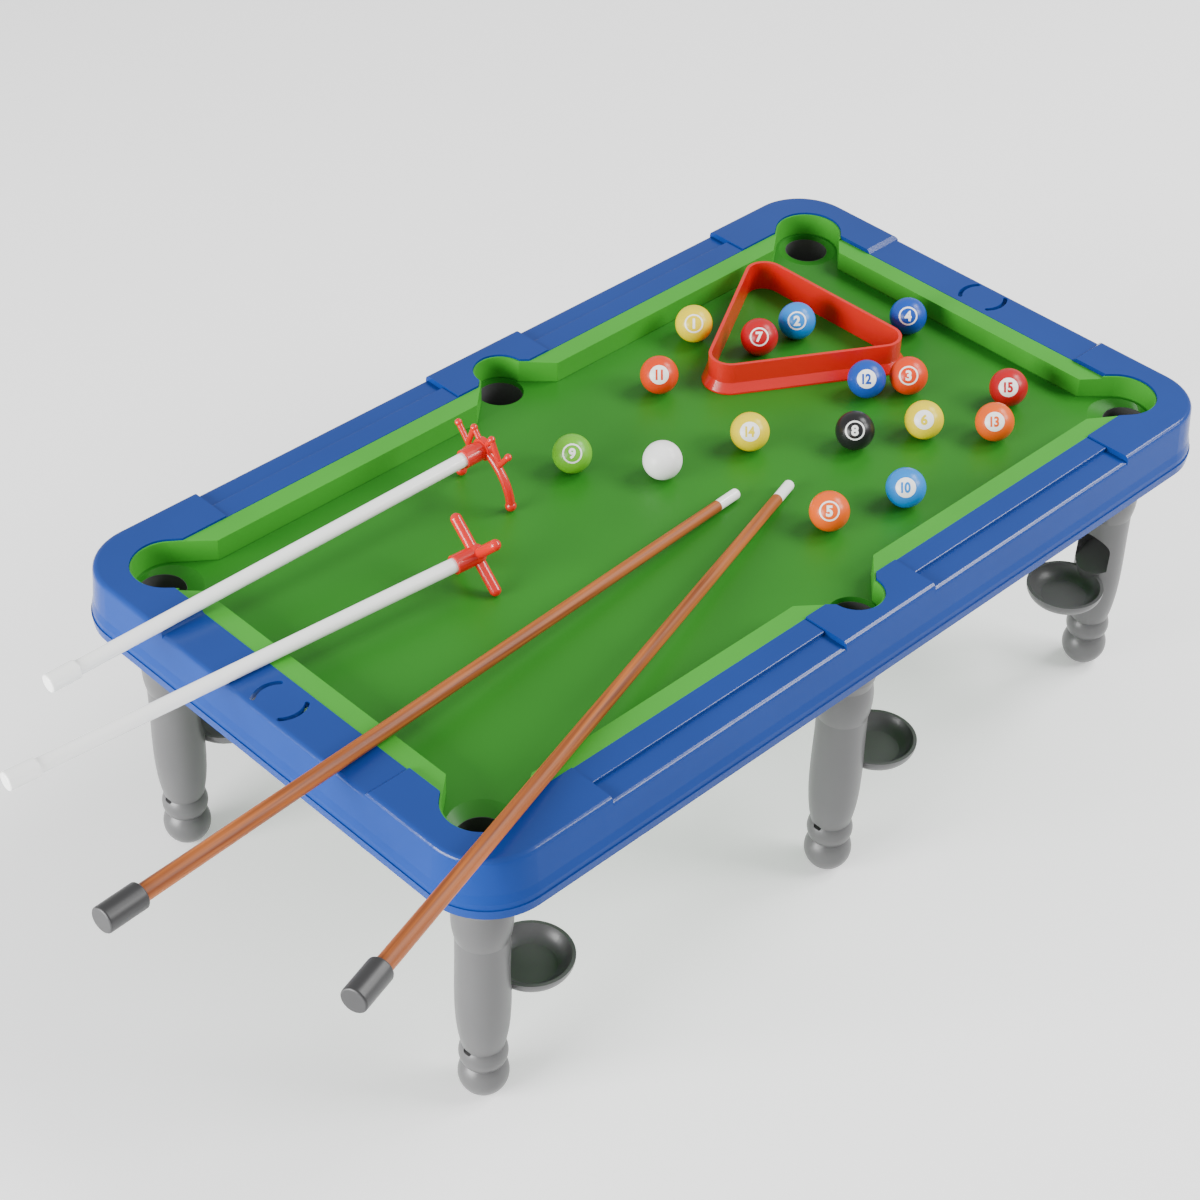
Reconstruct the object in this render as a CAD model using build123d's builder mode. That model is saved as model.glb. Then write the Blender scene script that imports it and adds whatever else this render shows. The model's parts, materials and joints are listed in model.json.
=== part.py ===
from build123d import *
import os
from math import acos, cos, hypot, radians, sin

os.makedirs("parts", exist_ok=True)

# Mini pool table. Millimetres, +X along the table, +Y across it, +Z up.
# The origin is on the floor below the middle of the bed.

# ---------- driving dimensions ----------
table_length = 520.0
table_width = 296.0
table_height = 181.6
ball_diameter = 20.4
bed_depth = 14.0  # blue rail top down to the playing surface
leg_spacing_x = 460.0  # corner leg to corner leg, along the table
leg_spacing_y = 228.8
middle_spacing_y = 250.4  # middle leg to middle leg, across the table
loose_gap = 0.15  # air under each loose piece

# ---------- heights ----------
ball_r = ball_diameter / 2
bed_z = table_height - bed_depth
bed_thick = 2.6
bed_under_z = bed_z - bed_thick
skirt_bottom_z = 149.6
top_plate = 5.6  # blue top plate at the raised blocks
roof_z = table_height - top_plate

# ---------- plan sizes ----------
half_length = table_length / 2
half_width = table_width / 2
corner_r = 31.0
rail_inner_x = 235.9
rail_inner_y = 122.2
nose_inset = 10.9  # blue inner edge to cushion nose
nose_x = rail_inner_x - nose_inset
nose_y = rail_inner_y - nose_inset
corner_leg_x = leg_spacing_x / 2
corner_leg_y = leg_spacing_y / 2
corner_pocket_inset = 3.0  # a corner pocket's circle is this far in from its leg, each way
corner_pocket_x = corner_leg_x - corner_pocket_inset
corner_pocket_y = corner_leg_y - corner_pocket_inset
middle_pocket_y = middle_spacing_y / 2
corner_pocket_r = 17.6
middle_pocket_r = 13.4
corner_jaw_x = 197.6  # where a long rail's nose ends, by a corner pocket
corner_jaw_y = 85.8  # where a short rail's nose ends
middle_jaw_x = 28.8
nose_round = 1.2  # rounding of a cushion's end, seen from above
wall_rim = 0.9  # green pocket wall showing round each pocket
part_gap = 0.15  # gap between the blue frame and the green tray


def tangent_point(start, centre, radius, turn):
    """Where a line from start touches a circle; turn is 1 or -1 for one side or the other."""
    reach_x, reach_y = start[0] - centre[0], start[1] - centre[1]
    reach = hypot(reach_x, reach_y)
    swing = turn * acos(radius / reach)
    return (
        centre[0] + radius * (reach_x * cos(swing) - reach_y * sin(swing)) / reach,
        centre[1] + radius * (reach_x * sin(swing) + reach_y * cos(swing)) / reach,
    )


def pocket_mouth(centre, radius, jaws, grow):
    """Sketch of one pocket, grown by a margin. Each jaw runs from a nose to a touch point."""
    shifted = []
    for nose, touch in jaws:
        run_x, run_y = touch[0] - nose[0], touch[1] - nose[1]
        run = hypot(run_x, run_y)
        normal_x, normal_y = run_y / run, -run_x / run
        outward = normal_x * (touch[0] - centre[0]) + normal_y * (touch[1] - centre[1])
        step = grow if outward > 0 else -grow
        shifted.append([(x + step * normal_x, y + step * normal_y) for x, y in (nose, touch)])
    (first_nose, first_touch), (second_nose, second_touch) = shifted
    with BuildSketch() as mouth:
        with BuildLine():
            Polyline(first_nose, first_touch, centre, second_touch, second_nose, close=True)
        make_face()
        with Locations(centre):
            Circle(radius + grow)
    return mouth.sketch


def well_area(grow):
    """Sketch of the playing area with its six pockets, grown by a margin."""
    with BuildSketch() as area:
        Rectangle(2 * (nose_x + grow), 2 * (nose_y + grow))
        for side_y in (-1, 1):
            middle_centre = (0.0, side_y * middle_pocket_y)
            middle_jaws = [
                (
                    (side * middle_jaw_x, side_y * nose_y),
                    (side * middle_pocket_r, side_y * middle_pocket_y),
                )
                for side in (-1, 1)
            ]
            add(pocket_mouth(middle_centre, middle_pocket_r, middle_jaws, grow))
            for side_x in (-1, 1):
                centre = (side_x * corner_pocket_x, side_y * corner_pocket_y)
                long_nose = (side_x * corner_jaw_x, side_y * nose_y)
                short_nose = (side_x * nose_x, side_y * corner_jaw_y)
                turn = side_x * side_y
                corner_jaws = [
                    (nose, tangent_point(nose, centre, corner_pocket_r, turn * way))
                    for nose, way in ((short_nose, 1), (long_nose, -1))
                ]
                add(pocket_mouth(centre, corner_pocket_r, corner_jaws, grow))
    return area.sketch


# ---------- outer frame ----------
# The skirt stands out further towards its lower edge: (height, how far out of the rim).
skirt_wall = 2.6
rim_round = 2.6
bead_top_z = skirt_bottom_z + 5.1
skirt_levels = [
    (skirt_bottom_z, 2.7),
    (bead_top_z, 3.2),
    (bead_top_z, 2.6),
    (bead_top_z + 3.2, 2.5),
    (bead_top_z + 7.5, 1.5),
    (table_height - 11.0, 0.8),
    (table_height, 0.0),
]
corner_block_x = 183.9  # where a corner block ends on the long rail
corner_block_y = 74.5  # where it ends on the short rail
middle_block_x = 32.0
inner_strip_drop = 0.9
outer_strip_drop = 3.0
groove_y = 134.6  # the step between the two strips of a long rail
short_rail_drop = 2.0
ramp_length = 2.5
groove_round = 0.6
slot_ring_x = 248.5  # each pair of curved slots lies on one ring
slot_ring_r = 12.5
slot_width = 2.4
slot_span = 80.0
screw_shank_r = 1.2
screw_bite = 3.6  # length of screw in the blue plate
# Screws sit under the raised blocks, outside the cushions.
screw_spots = [
    (side_x * spot_x, side_y * spot_y)
    for side_x in (-1, 1)
    for side_y in (-1, 1)
    for spot_x, spot_y in ((24.0, 133.2), (192.0, 133.2), (245.0, 82.0))
]


def rim_cut(drop):
    """Cross-section outside the rounded rim of a lowered rail: x out from the rim, y up from the top."""
    lean_top_z, lean = skirt_levels[-2]
    out = lean * (drop + rim_round) / (table_height - lean_top_z)
    bulge = rim_round * sin(radians(45))
    with BuildSketch() as cut:
        with BuildLine():
            top = Line((out - rim_round, 1), (out - rim_round, -drop))
            rim = ThreePointArc(
                top @ 1,
                (out - rim_round + bulge, -drop - rim_round + bulge),
                (out, -drop - rim_round),
            )
            Polyline(rim @ 1, (out + rim_round, -drop - rim_round), (out + rim_round, 1), top @ 0)
        make_face()
    return cut.sketch


with BuildPart() as outer_frame:
    # Skirt and top as one block, built up in bands from the lower edge to the rim.
    for (low_z, low_out), (high_z, high_out) in zip(skirt_levels, skirt_levels[1:]):
        if high_z > low_z:
            for level_z, out in ((low_z, low_out), (high_z, high_out)):
                with BuildSketch(Plane.XY.offset(level_z)):
                    RectangleRounded(
                        2 * (half_length + out), 2 * (half_width + out), corner_r + out
                    )
            loft(ruled=True)
    fillet(outer_frame.faces().sort_by(Axis.Z)[-1].edges(), rim_round)
    # Hollow below the top plate.
    with BuildSketch(Plane.XY.offset(skirt_bottom_z)):
        RectangleRounded(
            2 * (half_length - skirt_wall), 2 * (half_width - skirt_wall), corner_r - skirt_wall
        )
    extrude(amount=roof_z - skirt_bottom_z, mode=Mode.SUBTRACT)
    # The opening over the bed, scalloped round the pockets.
    with BuildSketch(Plane.XY.offset(roof_z)):
        Rectangle(2 * rail_inner_x, 2 * rail_inner_y)
        add(well_area(wall_rim + part_gap))
    extrude(amount=top_plate, mode=Mode.SUBTRACT)
    # Long rails: two strips between the blocks, the outer one lower.
    strip_centre_x = (middle_block_x + corner_block_x) / 2
    strip_length = corner_block_x - middle_block_x
    for strip_drop, strip_edge_y in (
        (inner_strip_drop, rail_inner_y - 2 * part_gap),
        (outer_strip_drop, groove_y),
    ):
        with BuildSketch(Plane.XY.offset(table_height - strip_drop)):
            with GridLocations(2 * strip_centre_x, 2 * half_width, 2, 2):
                Rectangle(strip_length, 2 * (half_width - strip_edge_y))
        extrude(amount=2 * strip_drop, mode=Mode.SUBTRACT)
    groove_edges = outer_frame.edges().filter_by(Axis.X).filter_by(
        lambda edge: abs(abs(edge.center().Y) - groove_y) < part_gap
        and edge.center().Z > table_height - outer_strip_drop + part_gap
    )
    fillet(groove_edges, groove_round)
    # Short rails: one lower run with a ramp up to the block at each end.
    for side in (-1, 1):
        with BuildSketch(Plane.YZ.offset(side * half_length)):
            with BuildLine():
                Polyline(
                    (-corner_block_y, table_height),
                    (-corner_block_y + ramp_length, table_height - short_rail_drop),
                    (corner_block_y - ramp_length, table_height - short_rail_drop),
                    (corner_block_y, table_height),
                    close=True,
                )
            make_face()
        extrude(amount=half_length - rail_inner_x + 2, both=True, mode=Mode.SUBTRACT)
    # The lowered runs get a rounded rim of their own.
    for side in (-1, 1):
        short_rim = Plane(
            origin=(side * half_length, 0, table_height), x_dir=(side, 0, 0), z_dir=(0, -side, 0)
        )
        with BuildSketch(short_rim):
            add(rim_cut(short_rail_drop))
        extrude(amount=corner_block_y - ramp_length, both=True, mode=Mode.SUBTRACT)
        for place_x in (-strip_centre_x, strip_centre_x):
            long_rim = Plane(
                origin=(place_x, side * half_width, table_height),
                x_dir=(0, side, 0),
                z_dir=(side, 0, 0),
            )
            with BuildSketch(long_rim):
                add(rim_cut(outer_strip_drop))
            extrude(amount=strip_length / 2, both=True, mode=Mode.SUBTRACT)
    # Two curved slots in each short rail, facing each other.
    with BuildSketch(Plane.XY.offset(roof_z)):
        for side in (-1, 1):
            for middle_angle in (90, 270):
                slot_line = CenterArc(
                    (side * slot_ring_x, 0), slot_ring_r, middle_angle - slot_span / 2, slot_span,
                    mode=Mode.PRIVATE,
                )
                SlotArc(slot_line, slot_width)
    extrude(amount=top_plate, mode=Mode.SUBTRACT)
    # Blind pilot holes for the screws.
    with BuildSketch(Plane.XY.offset(roof_z)):
        with Locations(*screw_spots):
            Circle(screw_shank_r)
    extrude(amount=screw_bite, mode=Mode.SUBTRACT)
outer_frame.part.label = "outer_frame"
export_step(outer_frame.part, "parts/outer_frame.step")

# ---------- play deck ----------
flange_thick = 2.2
flange_z = roof_z - flange_thick
flange_edge_gap = 2.4  # flange edge to the inside of the skirt
flange_half_length = half_length - skirt_wall - flange_edge_gap
flange_half_width = half_width - skirt_wall - flange_edge_gap
flange_corner_r = corner_r - skirt_wall - flange_edge_gap
tray_wall = 2.2
cushion_wall = 2.2
tray_side_out = 2.0  # outer side of the tray, past the blue inner edge
slot_notch = (30.0, 34.0)  # cut out of the flange below the curved slots
screw_clearance = 0.3
crown_share = 0.43  # how far in from the blue edge the cushion top bends
jaw_reach_x = corner_pocket_x - corner_pocket_r
jaw_reach_y = corner_pocket_y - corner_pocket_r
# Cushion top, as drops below the rim: at the blue edge, at the bend and at the nose.
long_cushion_drops = (1.1, 1.4, 2.0)
short_cushion_drops = (2.2, 2.5, 3.0)
corner_hole_top_r = 16.2
middle_hole_top_r = 12.6
leg_bore_top_r = 11.8
hole_bottom_r = leg_bore_top_r + 0.2
leg_collar_r = 14.5
socket_fit = 0.05
socket_wall = 2.2
socket_bottom_z = 141.0

with BuildPart() as play_deck:
    # Flange that meets the underside of the blue top plate.
    with BuildSketch(Plane.XY.offset(flange_z)):
        RectangleRounded(2 * flange_half_length, 2 * flange_half_width, flange_corner_r)
    extrude(amount=flange_thick)
    with BuildSketch(Plane.XY.offset(flange_z)):
        with GridLocations(2 * slot_ring_x, 0, 2, 1):
            Rectangle(*slot_notch)
    extrude(amount=flange_thick, mode=Mode.SUBTRACT)
    # Bed and outer wall of the tray.
    with BuildSketch(Plane.XY.offset(bed_under_z)):
        Rectangle(2 * (rail_inner_x + tray_side_out), 2 * (rail_inner_y + tray_side_out))
        add(well_area(tray_wall))
    extrude(amount=flange_z - bed_under_z)
    # Cushions and pocket walls, up through the opening of the frame.
    with BuildSketch(Plane.XY.offset(flange_z)):
        Rectangle(2 * (rail_inner_x - part_gap), 2 * (rail_inner_y - part_gap))
        add(well_area(wall_rim))
    extrude(amount=table_height - long_cushion_drops[0] - flange_z)
    # Cushion tops slope down to the nose.
    for plane, inner_edge, reach, drops in (
        (Plane.YZ, rail_inner_y, jaw_reach_x, long_cushion_drops),
        (Plane.XZ, rail_inner_x, jaw_reach_y, short_cushion_drops),
    ):
        edge_z, bend_z, nose_z = (table_height - drop for drop in drops)
        for side in (-1, 1):
            with BuildSketch(plane):
                with BuildLine():
                    Polyline(
                        (side * inner_edge, edge_z),
                        (side * (inner_edge - crown_share * nose_inset), bend_z),
                        (side * (inner_edge - nose_inset - tray_wall), nose_z),
                        (side * (inner_edge - nose_inset - tray_wall), table_height),
                        (side * inner_edge, table_height),
                        close=True,
                    )
                make_face()
            extrude(amount=reach, both=True, mode=Mode.SUBTRACT)
    # The well, down to the bed.
    with BuildSketch(Plane.XY.offset(bed_z)):
        add(well_area(0.0))
    extrude(amount=bed_depth, mode=Mode.SUBTRACT)
    nose_edges = play_deck.edges().filter_by(Axis.Z).filter_by(
        lambda edge: any(
            abs(abs(edge.center().X) - x) < part_gap and abs(abs(edge.center().Y) - y) < part_gap
            for x, y in ((corner_jaw_x, nose_y), (nose_x, corner_jaw_y), (middle_jaw_x, nose_y))
        )
    )
    fillet(nose_edges, nose_round)
    # Hollow under the cushions, open below.
    with BuildSketch(Plane.XY.offset(bed_under_z)):
        Rectangle(
            2 * (rail_inner_x + tray_side_out - tray_wall),
            2 * (rail_inner_y + tray_side_out - tray_wall),
        )
        add(well_area(tray_wall), mode=Mode.SUBTRACT)
    hollow_top_z = table_height - short_cushion_drops[2] - cushion_wall
    extrude(amount=hollow_top_z - bed_under_z, mode=Mode.SUBTRACT)
    # Leg sockets.
    with BuildSketch(Plane.XY.offset(socket_bottom_z)):
        with GridLocations(leg_spacing_x, leg_spacing_y, 2, 2):
            Circle(leg_collar_r + socket_fit + socket_wall)
        with GridLocations(0, middle_spacing_y, 1, 2):
            Circle(leg_collar_r + socket_fit + socket_wall)
    extrude(amount=bed_under_z - socket_bottom_z)
    with BuildSketch(Plane.XY.offset(socket_bottom_z)):
        with GridLocations(leg_spacing_x, leg_spacing_y, 2, 2):
            Circle(leg_collar_r + socket_fit)
        with GridLocations(0, middle_spacing_y, 1, 2):
            Circle(leg_collar_r + socket_fit)
    extrude(amount=bed_under_z - socket_bottom_z, mode=Mode.SUBTRACT)
    # Pocket holes, funnelled down to the leg bores.
    for side_y in (-1, 1):
        for top_spot, top_r, bottom_spot in (
            ((0, middle_pocket_y), middle_hole_top_r, (0, middle_pocket_y)),
            ((-corner_pocket_x, corner_pocket_y), corner_hole_top_r, (-corner_leg_x, corner_leg_y)),
            ((corner_pocket_x, corner_pocket_y), corner_hole_top_r, (corner_leg_x, corner_leg_y)),
        ):
            with BuildSketch(Plane.XY.offset(bed_under_z)):
                with Locations((bottom_spot[0], side_y * bottom_spot[1])):
                    Circle(hole_bottom_r)
            with BuildSketch(Plane.XY.offset(bed_z)):
                with Locations((top_spot[0], side_y * top_spot[1])):
                    Circle(top_r)
            loft(ruled=True, mode=Mode.SUBTRACT)
    # Screw holes in the flange.
    with BuildSketch(Plane.XY.offset(flange_z)):
        with Locations(*screw_spots):
            Circle(screw_shank_r + screw_clearance)
    extrude(amount=flange_thick, mode=Mode.SUBTRACT)
play_deck.part.label = "play_deck"
export_step(play_deck.part, "parts/play_deck.step")

# ---------- screws that hold the tray to the frame ----------
screw_head_r = 2.7
screw_head = 1.7
screw_recess_r = 0.9
screw_recess = 0.9

with BuildPart() as frame_screws:
    with BuildSketch(Plane.XY.offset(flange_z - screw_head)):
        with Locations(*screw_spots):
            Circle(screw_head_r)
    extrude(amount=screw_head)
    with BuildSketch(Plane.XY.offset(flange_z)):
        with Locations(*screw_spots):
            Circle(screw_shank_r - socket_fit)
    extrude(amount=flange_thick + screw_bite - loose_gap)
    with BuildSketch(Plane.XY.offset(flange_z - screw_head)):
        with Locations(*screw_spots):
            RegularPolygon(screw_recess_r, 6)
    extrude(amount=screw_recess, mode=Mode.SUBTRACT)
frame_screws.part.label = "frame_screws"
export_step(frame_screws.part, "parts/frame_screws.step")

# ---------- legs ----------
foot_flat_r = 5.0
foot_r = 12.3
foot_centre_z = 11.3
ankle = (9.7, 19.6)
ring_bulge = (11.8, 25.0)
neck = (10.2, 31.6)
calf = (13.0, 84.0)
upper_neck = (12.8, 104.0)
top_bulge = (14.4, 115.5)
collar_neck = (13.4, 126.0)
collar_z = 131.0
leg_bore_r = 10.9
bore_taper_low_z = 128.0
bore_taper_high_z = 140.0
ramp_back_z = 80.0  # sloped floor of the ball way: height at the back of the bore
ramp_front_z = 69.8
window_width = 21.4
window_arch_z = 83.8
cup_reach = 30.0  # leg axis to cup centre
cup_r = 21.0
cup_rim_z = 69.0
cup_floor_z = 62.0
cup_wall = 1.8
cup_flat_r = 12.5
drain_slot = (5.0, 2.4)
drain_depth = 4.0
drain_z = 31.6
leg_clearance = 0.05  # below the bed, in the socket
leg_top_z = bed_under_z - leg_clearance


def pocket_leg(centre_x, centre_y, toward):
    """A hollow turned leg with its ball cup; toward is +1 or -1, the cup's side along X."""
    upright = Plane(origin=(centre_x, centre_y, 0), x_dir=(toward, 0, 0), z_dir=(0, -toward, 0))
    leg_axis = Axis((centre_x, centre_y, 0), (0, 0, 1))
    cup_x = centre_x + toward * cup_reach
    cup_upright = Plane(origin=(cup_x, centre_y, 0), x_dir=(toward, 0, 0), z_dir=(0, -toward, 0))
    outward = Plane(origin=(centre_x, centre_y, 0), x_dir=(0, toward, 0), z_dir=(toward, 0, 0))

    # The ball's way: bore and window, with the sloped floor left standing.
    with BuildPart() as ball_way:
        with BuildSketch(upright):
            with BuildLine():
                Polyline(
                    (0, cup_floor_z),
                    (leg_bore_r, cup_floor_z),
                    (leg_bore_r, bore_taper_low_z),
                    (leg_bore_top_r, bore_taper_high_z),
                    (leg_bore_top_r, leg_top_z),
                    (0, leg_top_z),
                    close=True,
                )
            make_face()
        revolve(axis=leg_axis)
        with BuildSketch(outward):
            with BuildLine():
                base = Line((-window_width / 2, cup_floor_z), (window_width / 2, cup_floor_z))
                right = Line(base @ 1, (window_width / 2, window_arch_z))
                arch = ThreePointArc(
                    right @ 1,
                    (0, window_arch_z + window_width / 2),
                    (-window_width / 2, window_arch_z),
                )
                Line(arch @ 1, base @ 0)
            make_face()
        extrude(amount=calf[0] + 2)
        with BuildSketch(upright):
            with BuildLine():
                Polyline(
                    (-leg_bore_r, 0),
                    (-leg_bore_r, ramp_back_z),
                    (calf[0], ramp_front_z),
                    (calf[0] + 3, ramp_front_z),
                    (calf[0] + 3, 0),
                    close=True,
                )
            make_face()
        extrude(amount=2 * leg_bore_r, both=True, mode=Mode.SUBTRACT)

    with BuildPart() as leg:
        # Saucer-shaped cup.
        with BuildSketch(cup_upright):
            with BuildLine():
                under = Line((0, cup_floor_z - cup_wall), (cup_flat_r, cup_floor_z - cup_wall))
                outside = TangentArc(under @ 1, (cup_r, cup_rim_z), tangent=under % 1)
                rim = Line(outside @ 1, (cup_r - cup_wall, cup_rim_z))
                inside = ThreePointArc(
                    rim @ 1,
                    (cup_r - 2.4 * cup_wall, cup_rim_z - 0.6 * (cup_rim_z - cup_floor_z)),
                    (cup_flat_r, cup_floor_z),
                )
                floor = Line(inside @ 1, (0, cup_floor_z))
                Line(floor @ 1, under @ 0)
            make_face()
        revolve(axis=Axis((cup_x, centre_y, 0), (0, 0, 1)))
        # Turned leg.
        with BuildSketch(upright):
            with BuildLine():
                flat = Line((0, 0), (foot_flat_r, 0))
                foot = ThreePointArc(flat @ 1, (foot_r, foot_centre_z), ankle)
                ring = ThreePointArc(foot @ 1, ring_bulge, neck)
                shin = Spline(ring @ 1, calf, upper_neck, tangents=((0.25, 1), (0, 1)))
                bulge = ThreePointArc(shin @ 1, top_bulge, collar_neck)
                collar = Line(bulge @ 1, (leg_collar_r, collar_z))
                side = Line(collar @ 1, (leg_collar_r, leg_top_z))
                top = Line(side @ 1, (0, leg_top_z))
                Line(top @ 1, flat @ 0)
            make_face()
        revolve(axis=leg_axis)
        add(ball_way.part, mode=Mode.SUBTRACT)
        # Small drain slot at the neck, opposite the cup.
        with BuildSketch(outward.offset(-neck[0] - 1)):
            with Locations((0, drain_z)):
                SlotOverall(*drain_slot)
        extrude(amount=drain_depth + 1, mode=Mode.SUBTRACT)
    return leg.part


leg_places = {
    "leg_left_front": (-corner_leg_x, -corner_leg_y, 1),
    "leg_left_back": (-corner_leg_x, corner_leg_y, 1),
    "leg_middle_front": (0.0, -middle_pocket_y, 1),
    "leg_middle_back": (0.0, middle_pocket_y, 1),
    "leg_right_front": (corner_leg_x, -corner_leg_y, -1),
    "leg_right_back": (corner_leg_x, corner_leg_y, -1),
}
for leg_name, leg_place in leg_places.items():
    leg_part = pocket_leg(*leg_place)
    leg_part.label = leg_name
    export_step(leg_part, f"parts/{leg_name}.step")

# ---------- balls ----------
ball_spots = {
    "cue_ball": (10, 14),
    "ball_1": (112, 91),
    "ball_2": (156, 55),
    "ball_3": (161, -21),
    "ball_4": (205, 17),
    "ball_5": (41, -72),
    "ball_6": (136, -53),
    "ball_7": (129, 58),
    "ball_8": (102, -35),
    "ball_9": (-20, 49),
    "ball_10": (84, -85),
    "ball_11": (63, 69),
    "ball_12": (142, -8),
    "ball_13": (162, -79),
    "ball_14": (61, 1),
    "ball_15": (192, -64),
}
for ball_name, (ball_x, ball_y) in ball_spots.items():
    with BuildPart() as ball:
        with Locations((ball_x, ball_y, bed_z + ball_r + loose_gap)):
            Sphere(ball_r)
    ball.part.label = ball_name
    export_step(ball.part, f"parts/{ball_name}.step")

# ---------- rack ----------
rack_centre = (147.0, 51.0)
rack_height = 17.0
rack_wall = 1.8
rack_foot_out = 4.8
rack_foot_edge = 1.0
rack_foot_height = 5.5
rack_gap = 0.3
# Five rows of balls touching: four ball diameters along each side of the row centres.
rack_inner = 4 * ball_diameter / (2 * 3**0.5) + ball_r + rack_gap
rack_corner_r = ball_r - 0.7


def rack_triangle(out):
    """The rack's rounded triangle, apex towards -X, grown by a margin."""
    with Locations(rack_centre):
        RegularPolygon(2 * (rack_inner + out), 3, rotation=180)


with BuildPart() as rack:
    rack_bottom = Plane.XY.offset(bed_z + loose_gap)
    for level, out in ((0.0, rack_foot_out), (rack_foot_edge, rack_foot_out)):
        with BuildSketch(rack_bottom.offset(level)) as foot_outline:
            rack_triangle(out)
            fillet(foot_outline.vertices(), rack_corner_r + out)
    loft(ruled=True)
    for level, out in ((rack_foot_edge, rack_foot_out), (rack_foot_height, rack_wall)):
        with BuildSketch(rack_bottom.offset(level)) as slope_outline:
            rack_triangle(out)
            fillet(slope_outline.vertices(), rack_corner_r + out)
    loft(ruled=True)
    with BuildSketch(rack_bottom.offset(rack_foot_height)) as wall_outline:
        rack_triangle(rack_wall)
        fillet(wall_outline.vertices(), rack_corner_r + rack_wall)
    extrude(amount=rack_height - rack_foot_height)
    with BuildSketch(rack_bottom) as inner_outline:
        rack_triangle(0.0)
        fillet(inner_outline.vertices(), rack_corner_r)
    extrude(amount=rack_height, mode=Mode.SUBTRACT)
rack.part.label = "rack"
export_step(rack.part, "parts/rack.step")


# ---------- cues ----------
def lean_plane(low_point, high_point):
    """A plane at low_point whose Z runs to high_point; its X stays level."""
    along = Vector(*high_point) - Vector(*low_point)
    return Plane(origin=low_point, x_dir=(-along.Y, along.X, 0), z_dir=along)


cue_length = 420.0
cue_tip_r = 2.9
cue_tip_length = 16.0
cue_tip_hole_r = 1.6
cue_tip_hole = 8.0
cue_pad = 1.6  # rounded end of the tip
cue_butt_r = 4.3
cue_cap_r = 6.3
cue_cap_length = 21.0
cue_cap_hole = 15.0
cue_gap = 0.3


def cue_radius(distance):
    """Shaft radius at a distance from the tip."""
    return cue_tip_r + (cue_butt_r - cue_tip_r) * distance / cue_length


def make_cue(name, tip_spot, rail_spot, rail_z):
    """A cue with its tip on the bed, leaning on a rail edge, in three pieces."""
    reach = hypot(tip_spot[0] - rail_spot[0], tip_spot[1] - rail_spot[1])
    tip_centre = (*tip_spot, bed_z + cue_tip_r + cue_gap)
    rail_point = (*rail_spot, rail_z + cue_radius(reach) + cue_gap)
    lean = lean_plane(tip_centre, rail_point)
    cap_start = cue_length - cue_cap_length

    with BuildPart() as tip:
        with BuildSketch(lean):
            Circle(cue_tip_r)
        extrude(amount=cue_tip_length)
        fillet(tip.faces().sort_by_distance(lean.origin)[0].edges(), cue_pad)
        with BuildSketch(lean.offset(cue_tip_length - cue_tip_hole)):
            Circle(cue_tip_hole_r)
        extrude(amount=cue_tip_hole, mode=Mode.SUBTRACT)
    with BuildPart() as shaft:
        with BuildSketch(lean.offset(cue_tip_length)):
            Circle(cue_radius(cue_tip_length))
        with BuildSketch(lean.offset(cap_start + cue_cap_hole)):
            Circle(cue_radius(cap_start + cue_cap_hole))
        loft(ruled=True)
        with BuildSketch(lean.offset(cue_tip_length)):
            Circle(cue_tip_hole_r - socket_fit)
        extrude(amount=-cue_tip_hole + loose_gap)
    with BuildPart() as cap:
        with BuildSketch(lean.offset(cap_start)):
            Circle(cue_cap_r)
        extrude(amount=cue_cap_length)
        fillet(cap.faces().filter_by(GeomType.PLANE).edges(), 1.0)
        with BuildSketch(lean.offset(cap_start)):
            Circle(cue_radius(cap_start) + socket_fit)
        with BuildSketch(lean.offset(cap_start + cue_cap_hole)):
            Circle(cue_radius(cap_start + cue_cap_hole) + socket_fit)
        loft(ruled=True, mode=Mode.SUBTRACT)
    for piece_name, piece in (("tip", tip), ("shaft", shaft), ("cap", cap)):
        piece.part.label = f"{name}_{piece_name}"
        export_step(piece.part, f"parts/{name}_{piece_name}.step")


make_cue("cue_1", (25.2, -24.3), (-rail_inner_x, -50.6), table_height - short_rail_drop)
make_cue("cue_2", (50.6, -37.3), (-204.0, -rail_inner_y), table_height)

# ---------- rests ----------
rest_rod_r = 3.7
rest_length = 254.0
rest_cap_r = 4.7
rest_cap_length = 16.0
rest_cap_hole = 11.0
sleeve_r = 4.9
sleeve_length = 13.0
sleeve_hole = 11.0
plate_thick = 3.2
prong_tip_r = 1.9


def make_rod(name, head_point, rail_point):
    """A rest's rod and end cap, from the head out over the short rail."""
    lean = lean_plane(head_point, rail_point)
    start = sleeve_length - sleeve_hole
    cap_start = rest_length - rest_cap_length
    with BuildPart() as rod:
        with BuildSketch(lean.offset(start)):
            Circle(rest_rod_r)
        extrude(amount=cap_start + rest_cap_hole - start)
    with BuildPart() as end_cap:
        with BuildSketch(lean.offset(cap_start)):
            Circle(rest_cap_r)
        extrude(amount=rest_cap_length)
        fillet(end_cap.faces().filter_by(GeomType.PLANE).edges(), 1.0)
        with BuildSketch(lean.offset(cap_start)):
            Circle(rest_rod_r + socket_fit)
        extrude(amount=rest_cap_hole, mode=Mode.SUBTRACT)
    for piece_name, piece in (("rod", rod), ("cap", end_cap)):
        piece.part.label = f"{name}_{piece_name}"
        export_step(piece.part, f"parts/{name}_{piece_name}.step")
    return lean


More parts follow.
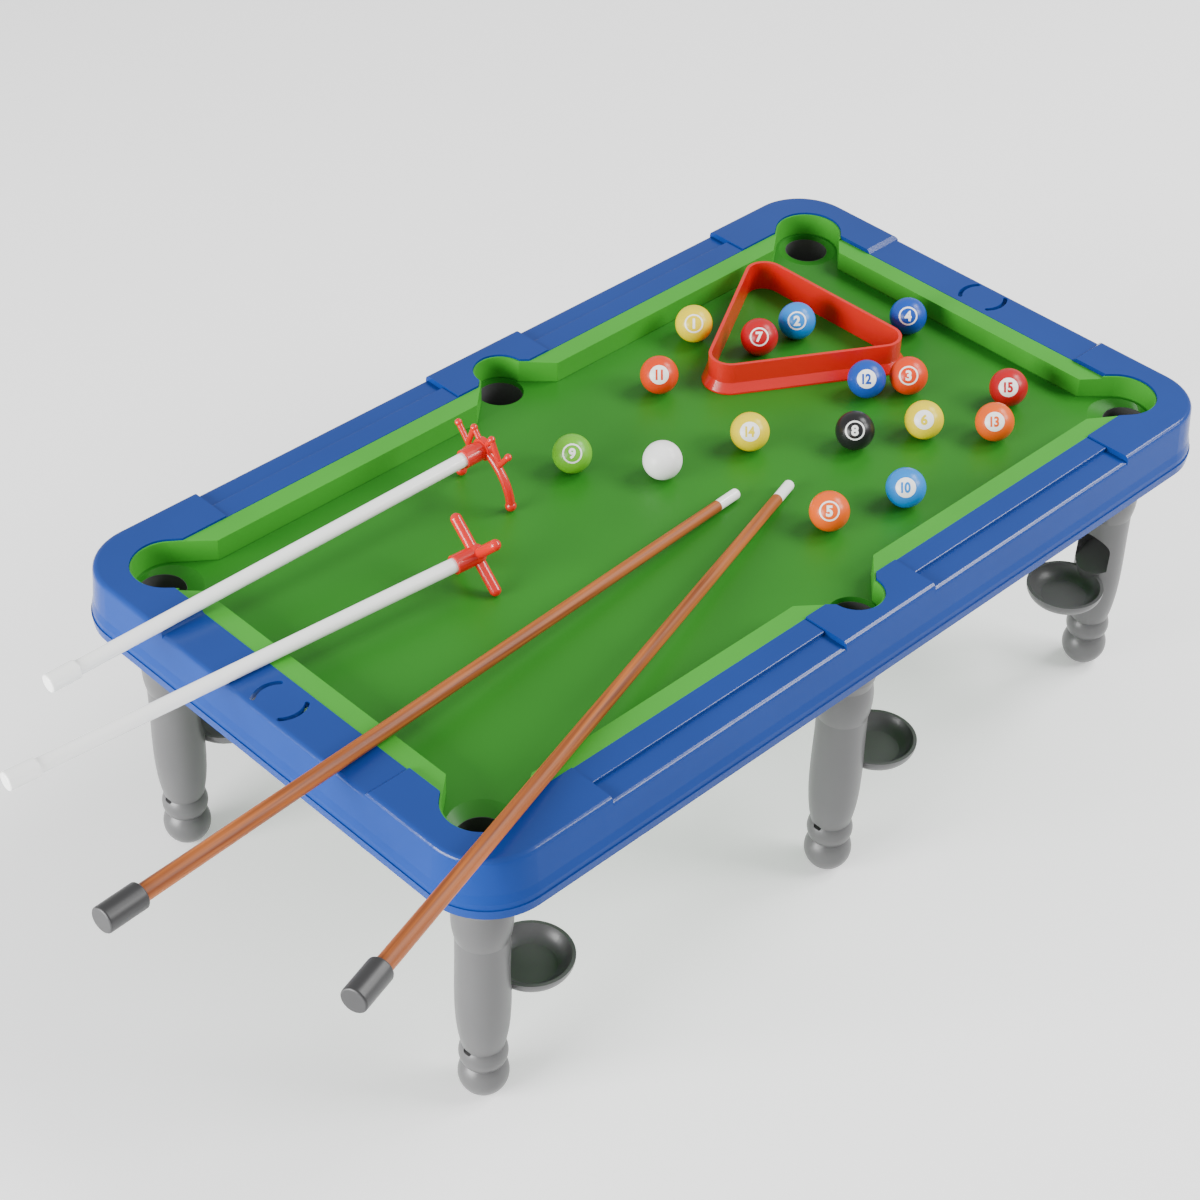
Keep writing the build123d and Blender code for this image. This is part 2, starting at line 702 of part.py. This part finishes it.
# Spider rest: an arch on two round feet with four prongs, square to the rod.
spider_point = (-66.6, 64.5, bed_z + 28.0)
spider_rail_point = (rim_round - half_length, 73.8, table_height + rest_rod_r + cue_gap)
spider_foot_y = 19.6
spider_foot_r = 2.9
spider_leg_r = 2.3
spider_hub_r = 6.0
spider_strut_r = 1.5
prong_places = ((-19.4, 5.6), (-6.8, 9.4), (6.8, 9.4), (19.4, 5.6))
valley_places = ((-12.4, -3.4), (0.0, 0.0), (12.4, -3.4))

spider_lean = make_rod("spider_rest", spider_point, spider_rail_point)
spider_face = Plane(origin=spider_point, x_dir=-spider_lean.x_dir, z_dir=-spider_lean.z_dir)
foot_drop = (spider_point[2] - bed_z - loose_gap - spider_foot_r) / spider_face.y_dir.Z
with BuildPart() as spider_head:
    with BuildSketch(spider_lean):
        Circle(sleeve_r)
    extrude(amount=sleeve_length)
    # Hub.
    with BuildSketch(spider_face):
        Circle(spider_hub_r)
    extrude(amount=plate_thick / 2, both=True)
    # Legs: round curved struts from the hub down to ball feet.
    for side in (-1, 1):
        with BuildLine(spider_face) as leg_line:
            ThreePointArc(
                (0, 0), (side * spider_foot_y * 0.68, -foot_drop * 0.34),
                (side * spider_foot_y, -foot_drop),
            )
        with BuildSketch(Plane(origin=leg_line.line @ 0, z_dir=leg_line.line % 0)):
            Circle(spider_leg_r)
        sweep(path=leg_line.line)
        with Locations(leg_line.line @ 1):
            Sphere(spider_foot_r)
    # Struts that zigzag between the valleys and the prongs.
    zigzag = [
        spider_face.from_local_coords((y, z, 0))
        for pair in zip(prong_places, valley_places + ((0, 0),))
        for y, z in pair
    ][:-1]
    for start, end in zip(zigzag, zigzag[1:]):
        with BuildSketch(Plane(origin=start, z_dir=end - start)):
            Circle(spider_strut_r)
        extrude(amount=(end - start).length)
    with Locations(*zigzag[1::2]):
        Sphere(spider_strut_r)
    with Locations(*zigzag[::2]):
        Sphere(prong_tip_r)
    with BuildSketch(spider_lean.offset(sleeve_length - sleeve_hole)):
        Circle(rest_rod_r + socket_fit)
    extrude(amount=sleeve_hole, mode=Mode.SUBTRACT)
spider_head.part.label = "spider_rest_head"
export_step(spider_head.part, "parts/spider_rest_head.step")

# Cross rest: four round arms on the end of the rod.
cross_arm = 19.5
cross_arm_r = 2.9
cross_hub_r = 5.4
cross_height = cross_arm * sin(radians(45)) + cross_arm_r + loose_gap
cross_point = (-117.0, 14.5, bed_z + cross_height)
cross_rail_point = (-rail_inner_x, 24.6, table_height - short_rail_drop + rest_rod_r + cue_gap)

cross_lean = make_rod("cross_rest", cross_point, cross_rail_point)
with BuildPart() as cross_head:
    with BuildSketch(cross_lean):
        Circle(sleeve_r)
    extrude(amount=sleeve_length)
    with Locations(cross_point):
        Sphere(cross_hub_r)
    for turn in range(45, 405, 90):
        arm_y = cross_arm * cos(radians(turn))
        arm_z = cross_arm * sin(radians(turn))
        arm_end = (cross_point[0], cross_point[1] + arm_y, cross_point[2] + arm_z)
        with BuildSketch(Plane(origin=cross_point, z_dir=(0, arm_y, arm_z))):
            Circle(cross_arm_r)
        extrude(amount=cross_arm)
        with Locations(arm_end):
            Sphere(cross_arm_r)
    with BuildSketch(cross_lean.offset(sleeve_length - sleeve_hole)):
        Circle(rest_rod_r + socket_fit)
    extrude(amount=sleeve_hole, mode=Mode.SUBTRACT)
cross_head.part.label = "cross_rest_head"
export_step(cross_head.part, "parts/cross_rest_head.step")
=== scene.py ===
import json
from math import atan2, cos, hypot, pi, radians, sin

import bmesh
import bpy
from mathutils import Matrix, Vector


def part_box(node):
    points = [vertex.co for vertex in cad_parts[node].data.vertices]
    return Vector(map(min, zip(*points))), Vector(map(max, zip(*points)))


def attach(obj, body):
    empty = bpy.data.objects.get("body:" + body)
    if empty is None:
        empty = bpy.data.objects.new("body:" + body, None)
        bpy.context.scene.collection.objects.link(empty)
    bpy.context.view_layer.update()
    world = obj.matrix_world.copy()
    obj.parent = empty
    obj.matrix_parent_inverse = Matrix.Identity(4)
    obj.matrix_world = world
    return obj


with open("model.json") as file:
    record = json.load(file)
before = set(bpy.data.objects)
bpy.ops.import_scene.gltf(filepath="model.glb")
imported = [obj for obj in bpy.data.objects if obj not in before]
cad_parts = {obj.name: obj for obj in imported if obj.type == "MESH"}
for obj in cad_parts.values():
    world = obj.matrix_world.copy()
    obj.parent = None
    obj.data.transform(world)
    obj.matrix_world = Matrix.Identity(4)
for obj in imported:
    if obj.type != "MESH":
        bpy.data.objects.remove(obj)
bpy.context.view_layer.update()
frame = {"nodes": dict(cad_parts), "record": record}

# Looks for the mini pool table. Everything is in metres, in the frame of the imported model.
MM = 0.001
nodes = frame["nodes"]
material_slots = {
    entry["node"]: entry["material_slot"] for entry in frame["record"]["subparts"]
}

# ---------- camera numbers, used by the ball badges too ----------
camera_aim = Vector((-0.0945, -0.0479, 0.1816))
camera_distance = 1.212
camera_azimuth = radians(-45.25)
camera_elevation = radians(39.41)
camera_roll = radians(1.71)
camera_lens = 77.1
camera_sensor_width = 36.0

camera_back = Vector((
    sin(camera_azimuth) * cos(camera_elevation),
    -cos(camera_azimuth) * cos(camera_elevation),
    sin(camera_elevation),
))
level_right = Vector((cos(camera_azimuth), sin(camera_azimuth), 0.0))
level_up = camera_back.cross(level_right)
camera_right = level_right * cos(camera_roll) + level_up * sin(camera_roll)
camera_up = camera_back.cross(camera_right)
camera_place = camera_aim + camera_back * camera_distance


# ---------- node helpers ----------
# The mix node has sockets for each kind of data; these are its colour ones.
mix_first_colour = 6
mix_second_colour = 7
mix_colour_result = 2


class Surface:
    """A material being built: its node tree, its shader and its object coordinates."""

    def __init__(self, name):
        self.material = bpy.data.materials.new(name)
        self.material.use_nodes = True
        self.tree = self.material.node_tree
        self.shader = self.tree.nodes["Principled BSDF"]
        self.coordinates = self.node("ShaderNodeTexCoord").outputs["Object"]

    def node(self, kind, **settings):
        made = self.tree.nodes.new(kind)
        for setting, value in settings.items():
            setattr(made, setting, value)
        return made

    def link(self, output, target):
        self.tree.links.new(output, target)

    def set(self, **values):
        """Plain values on the shader's own sockets; an underscore stands for a space."""
        for name, value in values.items():
            self.shader.inputs[name.replace("_", " ")].default_value = value

    def noise(self, scale, detail=2.0, coordinates=None):
        texture = self.node("ShaderNodeTexNoise")
        texture.inputs["Scale"].default_value = scale
        texture.inputs["Detail"].default_value = detail
        self.link(coordinates or self.coordinates, texture.inputs["Vector"])
        return texture.outputs["Fac"]

    def spread(self, value, low, high, start=0.3, end=0.7):
        """A value's range from start to end mapped to low..high, and held beyond its ends."""
        mapped = self.node("ShaderNodeMapRange")
        for name, number in (
            ("From Min", start), ("From Max", end), ("To Min", low), ("To Max", high)
        ):
            mapped.inputs[name].default_value = number
        self.link(value, mapped.inputs["Value"])
        return mapped.outputs["Result"]

    def mix(self, factor, first, second):
        """Two colours mixed by a factor; each may be a colour or another node's output."""
        mixer = self.node("ShaderNodeMix", data_type="RGBA")
        self.link(factor, mixer.inputs["Factor"])
        for index, colour in ((mix_first_colour, first), (mix_second_colour, second)):
            if isinstance(colour, tuple):
                mixer.inputs[index].default_value = (*colour, 1.0)
            else:
                self.link(colour, mixer.inputs[index])
        return mixer.outputs[mix_colour_result]

    def bump(self, height, strength, depth):
        bumped = self.node("ShaderNodeBump")
        bumped.inputs["Strength"].default_value = strength
        bumped.inputs["Distance"].default_value = depth
        self.link(height, bumped.inputs["Height"])
        self.link(bumped.outputs["Normal"], self.shader.inputs["Normal"])


def tint(colour, factor):
    """A colour made lighter or darker."""
    return tuple(min(1.0, channel * factor) for channel in colour)


cloud_scale = 16.0
smudge_scale = 70.0
gloss_variation = 0.02  # how far the roughness moves each way
grain_depth = 0.05 * MM


def moulded_plastic(
    name, colour, roughness, mottle=0.06, grain=0.12, grain_scale=1100.0, coat=0.0, shine=0.5
):
    """Injection-moulded plastic: cloudy colour, uneven gloss and a fine grain."""
    surface = Surface(name)
    cloud = surface.noise(cloud_scale, 3.0)
    body = surface.mix(
        surface.spread(cloud, 0.0, 1.0), tint(colour, 1.0 - mottle), tint(colour, 1.0 + mottle)
    )
    surface.link(body, surface.shader.inputs["Base Color"])
    smudge = surface.noise(smudge_scale, 4.0)
    gloss = surface.spread(
        smudge, roughness - gloss_variation, roughness + gloss_variation, 0.2, 0.8
    )
    surface.link(gloss, surface.shader.inputs["Roughness"])
    surface.bump(surface.noise(grain_scale, 2.0), grain, grain_depth)
    surface.set(Coat_Weight=coat, Coat_Roughness=0.08, Specular_IOR_Level=shine)
    return surface


# ---------- materials ----------
blue = (0.007, 0.036, 0.20)
# The bed's green is the cushion green painted darker, as shade in the recess below the cushions.
shaded_bed_green = (0.022, 0.165, 0.014)
cushion_green = (0.046, 0.29, 0.026)
grey = (0.080, 0.080, 0.081)
red = (0.56, 0.010, 0.008)
white = (0.90, 0.91, 0.89)
dark_brown = (0.15, 0.036, 0.008)
light_brown = (0.42, 0.125, 0.026)
patch_brown = (0.28, 0.08, 0.022)


def make_frame_blue():
    """Blue with glossy tops and rims and duller upright skirts."""
    surface = moulded_plastic("frame_blue", blue, 0.21, mottle=0.05, grain=0.06)
    skirt_shine = 0.06
    top_shine = 0.34
    steep = 0.25  # the normal's Z up to which a face counts as skirt
    level = 0.6  # the normal's Z from which a face counts as top or rim
    facing = surface.node("ShaderNodeSeparateXYZ")
    surface.link(surface.node("ShaderNodeNewGeometry").outputs["Normal"], facing.inputs["Vector"])
    shine = surface.spread(facing.outputs["Z"], skirt_shine, top_shine, steep, level)
    surface.link(shine, surface.shader.inputs["Specular IOR Level"])
    return surface.material


def make_deck_green():
    """Green tray: one green for cushions and bed, with the bed, which lies below the cushions,
    painted darker as shade.
    """
    surface = moulded_plastic("deck_green", cushion_green, 0.36, mottle=0.05, grain=0.16, shine=0.2)
    bed_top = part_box("ball_1")[0][2]  # a ball's lowest point, just above the bed
    blend_start = bed_top + 0.1 * MM
    blend_end = bed_top + 0.7 * MM
    height = surface.node("ShaderNodeSeparateXYZ")
    surface.link(surface.coordinates, height.inputs["Vector"])
    above_bed = surface.spread(height.outputs["Z"], 0.0, 1.0, blend_start, blend_end)
    cushion = surface.shader.inputs["Base Color"].links[0].from_socket
    bed_cloud = surface.spread(surface.noise(9.0, 2.0), 0.0, 1.0)
    # Painted shade: below the blend height the bed takes the darker green, as if shaded by the
    # cushions standing above it.
    bed = surface.mix(bed_cloud, tint(shaded_bed_green, 0.93), tint(shaded_bed_green, 1.08))
    surface.link(surface.mix(above_bed, bed, cushion), surface.shader.inputs["Base Color"])
    return surface.material


def make_leg_grey():
    """Half-dull grey with a visible grain."""
    surface = moulded_plastic("leg_grey", grey, 0.36, mottle=0.07, grain=0.18, grain_scale=800.0)
    return surface.material


def make_red():
    """Glossy red that lets a little light in."""
    surface = moulded_plastic("moulded_red", red, 0.22, mottle=0.04, grain=0.05, coat=0.15)
    surface.set(Subsurface_Weight=0.15, Subsurface_Radius=(4.0 * MM, 1.0 * MM, 1.0 * MM))
    return surface.material


def make_white():
    """Glossy white with a thin clear coat."""
    surface = moulded_plastic("rod_white", white, 0.22, mottle=0.02, grain=0.05, coat=0.3)
    return surface.material


def make_cap_black():
    """Dull black with a coarse grain."""
    surface = moulded_plastic(
        "cap_black", (0.022, 0.022, 0.023), 0.42, mottle=0.15, grain=0.3, grain_scale=900.0
    )
    return surface.material


def make_screw_steel():
    """Zinc-plated steel with a mottled, lightly pitted surface."""
    surface = Surface("screw_steel")
    cloud = surface.noise(400.0, 3.0)
    tone = surface.mix(surface.spread(cloud, 0.0, 1.0), (0.42, 0.42, 0.43), (0.66, 0.66, 0.65))
    surface.link(tone, surface.shader.inputs["Base Color"])
    surface.link(surface.spread(cloud, 0.22, 0.42), surface.shader.inputs["Roughness"])
    surface.set(Metallic=1.0)
    surface.bump(surface.noise(2500.0, 2.0), 0.2, 0.03 * MM)
    return surface.material


def make_cue_grain(cue):
    """Brown shaft with long printed streaks that run along this cue."""
    surface = Surface(f"{cue}_grain")
    low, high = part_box(f"{cue}_shaft")
    # The cue runs from its tip, low over the bed, towards low X and low Y to its raised butt.
    run = Vector((low[0] - high[0], low[1] - high[1], high[2] - low[2]))
    turn = run.to_track_quat("X", "Z").inverted().to_euler()
    mapping = surface.node("ShaderNodeMapping", vector_type="POINT")
    mapping.inputs["Rotation"].default_value = turn
    surface.link(surface.coordinates, mapping.inputs["Vector"])
    scale_along = 9.0
    scale_across = 420.0
    stretch = surface.node("ShaderNodeMapping", vector_type="POINT")
    stretch.inputs["Scale"].default_value = (scale_along, scale_across, scale_across)
    surface.link(mapping.outputs["Vector"], stretch.inputs["Vector"])
    streaks = surface.noise(1.0, 4.0, stretch.outputs["Vector"])
    tone = surface.mix(surface.spread(streaks, 0.0, 1.0, 0.35, 0.68), dark_brown, light_brown)
    patches = surface.spread(surface.noise(22.0, 2.0), 0.0, 0.35)
    surface.link(surface.mix(patches, tone, patch_brown), surface.shader.inputs["Base Color"])
    surface.link(surface.spread(streaks, 0.38, 0.50), surface.shader.inputs["Roughness"])
    surface.set(Specular_IOR_Level=0.22)
    surface.bump(streaks, 0.15, 0.04 * MM)
    return surface.material


def polished_ball(name, colour):
    """Ball plastic: a slightly cloudy colour with a soft gloss."""
    surface = moulded_plastic(
        name, colour, 0.30, mottle=0.05, grain=0.05, grain_scale=1500.0, shine=0.3
    )
    return surface.material


def badge_paint(name, colour):
    """Printed badge, a little rougher than the ball."""
    surface = moulded_plastic(name, colour, 0.34, mottle=0.03, grain=0.12, grain_scale=2500.0)
    return surface.material


ball_colours = {
    "ball_white": (0.84, 0.84, 0.83),
    "ball_yellow": (0.74, 0.58, 0.0),
    "ball_light_blue": (0.006, 0.20, 0.62),
    "ball_red": (0.66, 0.045, 0.006),
    "ball_royal_blue": (0.008, 0.060, 0.36),
    "ball_orange": (0.72, 0.10, 0.006),
    "ball_dark_red": (0.42, 0.006, 0.012),
    "ball_black": (0.012, 0.012, 0.013),
    "ball_green": (0.13, 0.43, 0.02),
}
slot_materials = {
    "blue_plastic": make_frame_blue(),
    "green_plastic": make_deck_green(),
    "grey_plastic": make_leg_grey(),
    "red_plastic": make_red(),
    "white_plastic": make_white(),
    "cap_black": make_cap_black(),
    "screw_steel": make_screw_steel(),
}
slot_materials.update(
    {slot: polished_ball(slot, colour) for slot, colour in ball_colours.items()}
)
for node_name, node_object in nodes.items():
    slot_name = material_slots[node_name]
    if slot_name == "cue_brown":
        chosen = make_cue_grain(node_name.removesuffix("_shaft"))
    else:
        chosen = slot_materials[slot_name]
    if not node_object.material_slots:
        node_object.data.materials.append(chosen)
    for object_slot in node_object.material_slots:
        object_slot.material = chosen

# ---------- ball badges ----------
ring_balls = (1, 2, 3, 4, 5, 7, 8, 9)
disc_balls = (6, 10, 11, 12, 13, 14, 15)
ball_radius = (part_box("ball_1")[1][2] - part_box("ball_1")[0][2]) / 2
badge_radius = 5.3 * MM
ring_inner_radius = 4.4 * MM
digit_height = 5.6 * MM
disc_rise = 0.03 * MM  # how far a disc, ring or number stands out of the ball
digit_rise = 0.07 * MM
badge_depth = 0.25 * MM  # how far each goes into the ball
digit_boldness = 0.042  # how far the strokes are thickened, for digits of size 1
digit_spacing = 0.92
two_digit_width = 0.84  # two digits are narrowed to this share, to fit the badge
merge_distance = 0.002 * MM
longest_edge = 0.5 * MM  # longer edges are split, so that a number follows the ball
split_rounds = 3
badge_white = badge_paint("badge_white", (0.88, 0.88, 0.87))


def wrap_on_ball(mesh, centre, rise):
    """Flat mesh with z = 0 above and z = -1 below, laid on the ball on the side facing the camera."""
    out = (camera_place - centre).normalized()
    side = camera_up.cross(out).normalized()
    up = out.cross(side)
    for vertex in mesh.vertices:
        flat = hypot(vertex.co.x, vertex.co.y)
        angle = flat / ball_radius
        heading = atan2(vertex.co.y, vertex.co.x)
        depth = rise if vertex.co.z > -0.5 else -badge_depth
        direction = (
            out * cos(angle) + (side * cos(heading) + up * sin(heading)) * sin(angle)
        )
        vertex.co = centre + direction * (ball_radius + depth)


def ring_mesh(name, inner, outer):
    """A flat closed ring, or a disc if inner is 0, one unit thick below z = 0."""
    sectors = 72
    steps = 6
    build = bmesh.new()
    radii = [inner + (outer - inner) * step / steps for step in range(steps + 1)]
    layers = []
    for z in (0.0, -1.0):
        circles = []
        for radius in radii:
            if radius == 0:
                circles.append([build.verts.new((0.0, 0.0, z))])
            else:
                circles.append([
                    build.verts.new(
                        (radius * cos(2 * pi * n / sectors), radius * sin(2 * pi * n / sectors), z)
                    )
                    for n in range(sectors)
                ])
        layers.append(circles)
    for circles in layers:
        for inside, outside in zip(circles, circles[1:]):
            for n in range(sectors):
                after = (n + 1) % sectors
                if len(inside) == 1:
                    build.faces.new((inside[0], outside[n], outside[after]))
                else:
                    build.faces.new((inside[n], outside[n], outside[after], inside[after]))
    edges = [-1] if inner == 0 else [0, -1]
    for edge in edges:
        top, bottom = layers[0][edge], layers[1][edge]
        for n in range(sectors):
            after = (n + 1) % sectors
            build.faces.new((top[n], bottom[n], bottom[after], top[after]))
    bmesh.ops.recalc_face_normals(build, faces=build.faces)
    mesh = bpy.data.meshes.new(name)
    build.to_mesh(mesh)
    build.free()
    return mesh


def flat_length(edge):
    """An edge's length seen from above."""
    start, end = (vertex.co for vertex in edge.verts)
    return hypot(start.x - end.x, start.y - end.y)


def number_mesh(name, number):
    """The ball's number as a closed flat mesh, centred, one unit thick below z = 0."""
    curve = bpy.data.curves.new(name, "FONT")
    curve.body = str(number)
    curve.size = 1.0
    curve.offset = digit_boldness
    curve.resolution_u = 6
    curve.extrude = 0.5
    curve.space_character = digit_spacing
    holder = bpy.data.objects.new(name, curve)
    bpy.context.scene.collection.objects.link(holder)
    bpy.context.view_layer.update()
    evaluated = holder.evaluated_get(bpy.context.evaluated_depsgraph_get())
    mesh = bpy.data.meshes.new_from_object(evaluated)
    bpy.data.objects.remove(holder)
    bpy.data.curves.remove(curve)
    low = [min(vertex.co[axis] for vertex in mesh.vertices) for axis in range(2)]
    high = [max(vertex.co[axis] for vertex in mesh.vertices) for axis in range(2)]
    scale = digit_height / (high[1] - low[1])
    width_share = 1.0 if number < 10 else two_digit_width
    for vertex in mesh.vertices:
        vertex.co.x = (vertex.co.x - (low[0] + high[0]) / 2) * scale * width_share
        vertex.co.y = (vertex.co.y - (low[1] + high[1]) / 2) * scale
        vertex.co.z = 0.0 if vertex.co.z > 0 else -1.0
    build = bmesh.new()
    build.from_mesh(mesh)
    bmesh.ops.remove_doubles(build, verts=build.verts, dist=merge_distance)
    bmesh.ops.triangulate(build, faces=build.faces)
    for _ in range(split_rounds):
        long_edges = [edge for edge in build.edges if flat_length(edge) > longest_edge]
        if long_edges:
            bmesh.ops.subdivide_edges(build, edges=long_edges, cuts=1)
            bmesh.ops.triangulate(build, faces=build.faces)
    bmesh.ops.recalc_face_normals(build, faces=build.faces)
    build.to_mesh(mesh)
    build.free()
    return mesh


def add_badge(mesh, ball, rise, material):
    """Lays a badge mesh on a ball and makes it move with the ball."""
    low, high = (Vector(corner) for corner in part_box(ball))
    wrap_on_ball(mesh, (low + high) / 2, rise)
    mesh.materials.clear()
    mesh.materials.append(material)
    piece = bpy.data.objects.new(mesh.name, mesh)
    bpy.context.scene.collection.objects.link(piece)
    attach(piece, ball)


for number in ring_balls + disc_balls:
    ball_name = f"ball_{number}"
    ball_slot = material_slots[ball_name]
    if number in ring_balls:
        badge = ring_mesh(f"{ball_name}_ring", ring_inner_radius, badge_radius)
        number_paint, number_slot = badge_white, "ball_white"
    else:
        badge = ring_mesh(f"{ball_name}_disc", 0.0, badge_radius)
        number_paint, number_slot = slot_materials[ball_slot], ball_slot
    add_badge(badge, ball_name, disc_rise, badge_white)
    add_badge(
        number_mesh(f"{ball_name}_number", number), ball_name, digit_rise, number_paint
    )

# ---------- stage ----------
floor_half = 4.0
floor_drop = 0.5 * MM  # how far the floor lies below the feet
floor_glow = 0.3
floor_mesh = bpy.data.meshes.new("floor")
floor_mesh.from_pydata(
    [
        (x * floor_half, y * floor_half, -floor_drop)
        for x, y in ((-1, -1), (1, -1), (1, 1), (-1, 1))
    ],
    [],
    [(0, 1, 2, 3)],
)
floor = bpy.data.objects.new("floor", floor_mesh)
bpy.context.scene.collection.objects.link(floor)
floor_surface = Surface("floor_pale")
floor_tone = floor_surface.mix(
    floor_surface.spread(floor_surface.noise(2.0), 0.0, 1.0), (0.90, 0.90, 0.90), (0.93, 0.93, 0.93)
)
floor_surface.link(floor_tone, floor_surface.shader.inputs["Base Color"])
floor_surface.set(Roughness=0.9, Specular_IOR_Level=0.1)
floor_surface.set(Emission_Color=(1.0, 1.0, 1.0, 1.0), Emission_Strength=floor_glow)
floor_mesh.materials.append(floor_surface.material)

# ---------- light ----------
world_strength = 0.7
world = bpy.data.worlds.new("studio")
bpy.context.scene.world = world
world.use_nodes = True
background = world.node_tree.nodes["Background"]
background.inputs["Color"].default_value = (1.0, 1.0, 1.0, 1.0)
background.inputs["Strength"].default_value = world_strength

table_middle = Vector((0.0, 0.0, 0.15))


def add_light(name, place, size, power):
    """A square soft box, with its size in metres and its power in watts, aimed at the table."""
    light = bpy.data.lights.new(name, "AREA")
    light.shape = "SQUARE"
    light.size = size
    light.energy = power
    holder = bpy.data.objects.new(name, light)
    holder.location = place
    holder.rotation_euler = (table_middle - Vector(place)).to_track_quat("-Z", "Y").to_euler()
    bpy.context.scene.collection.objects.link(holder)


add_light("key_right", place=(1.6, -0.5, 2.0), size=0.9, power=46.0)
add_light("left_wall", place=(-1.9, 0.3, 0.5), size=1.2, power=105.0)
add_light("rim_box", place=(1.15, -1.32, 1.28), size=0.8, power=36.0)

# ---------- camera ----------
camera_data = bpy.data.cameras.new("camera")
camera_data.lens = camera_lens
camera_data.sensor_width = camera_sensor_width
camera = bpy.data.objects.new("camera", camera_data)
camera_turn = Matrix((camera_right, camera_up, camera_back)).transposed().to_4x4()
camera.matrix_world = Matrix.Translation(camera_place) @ camera_turn
bpy.context.scene.collection.objects.link(camera)
bpy.context.scene.camera = camera
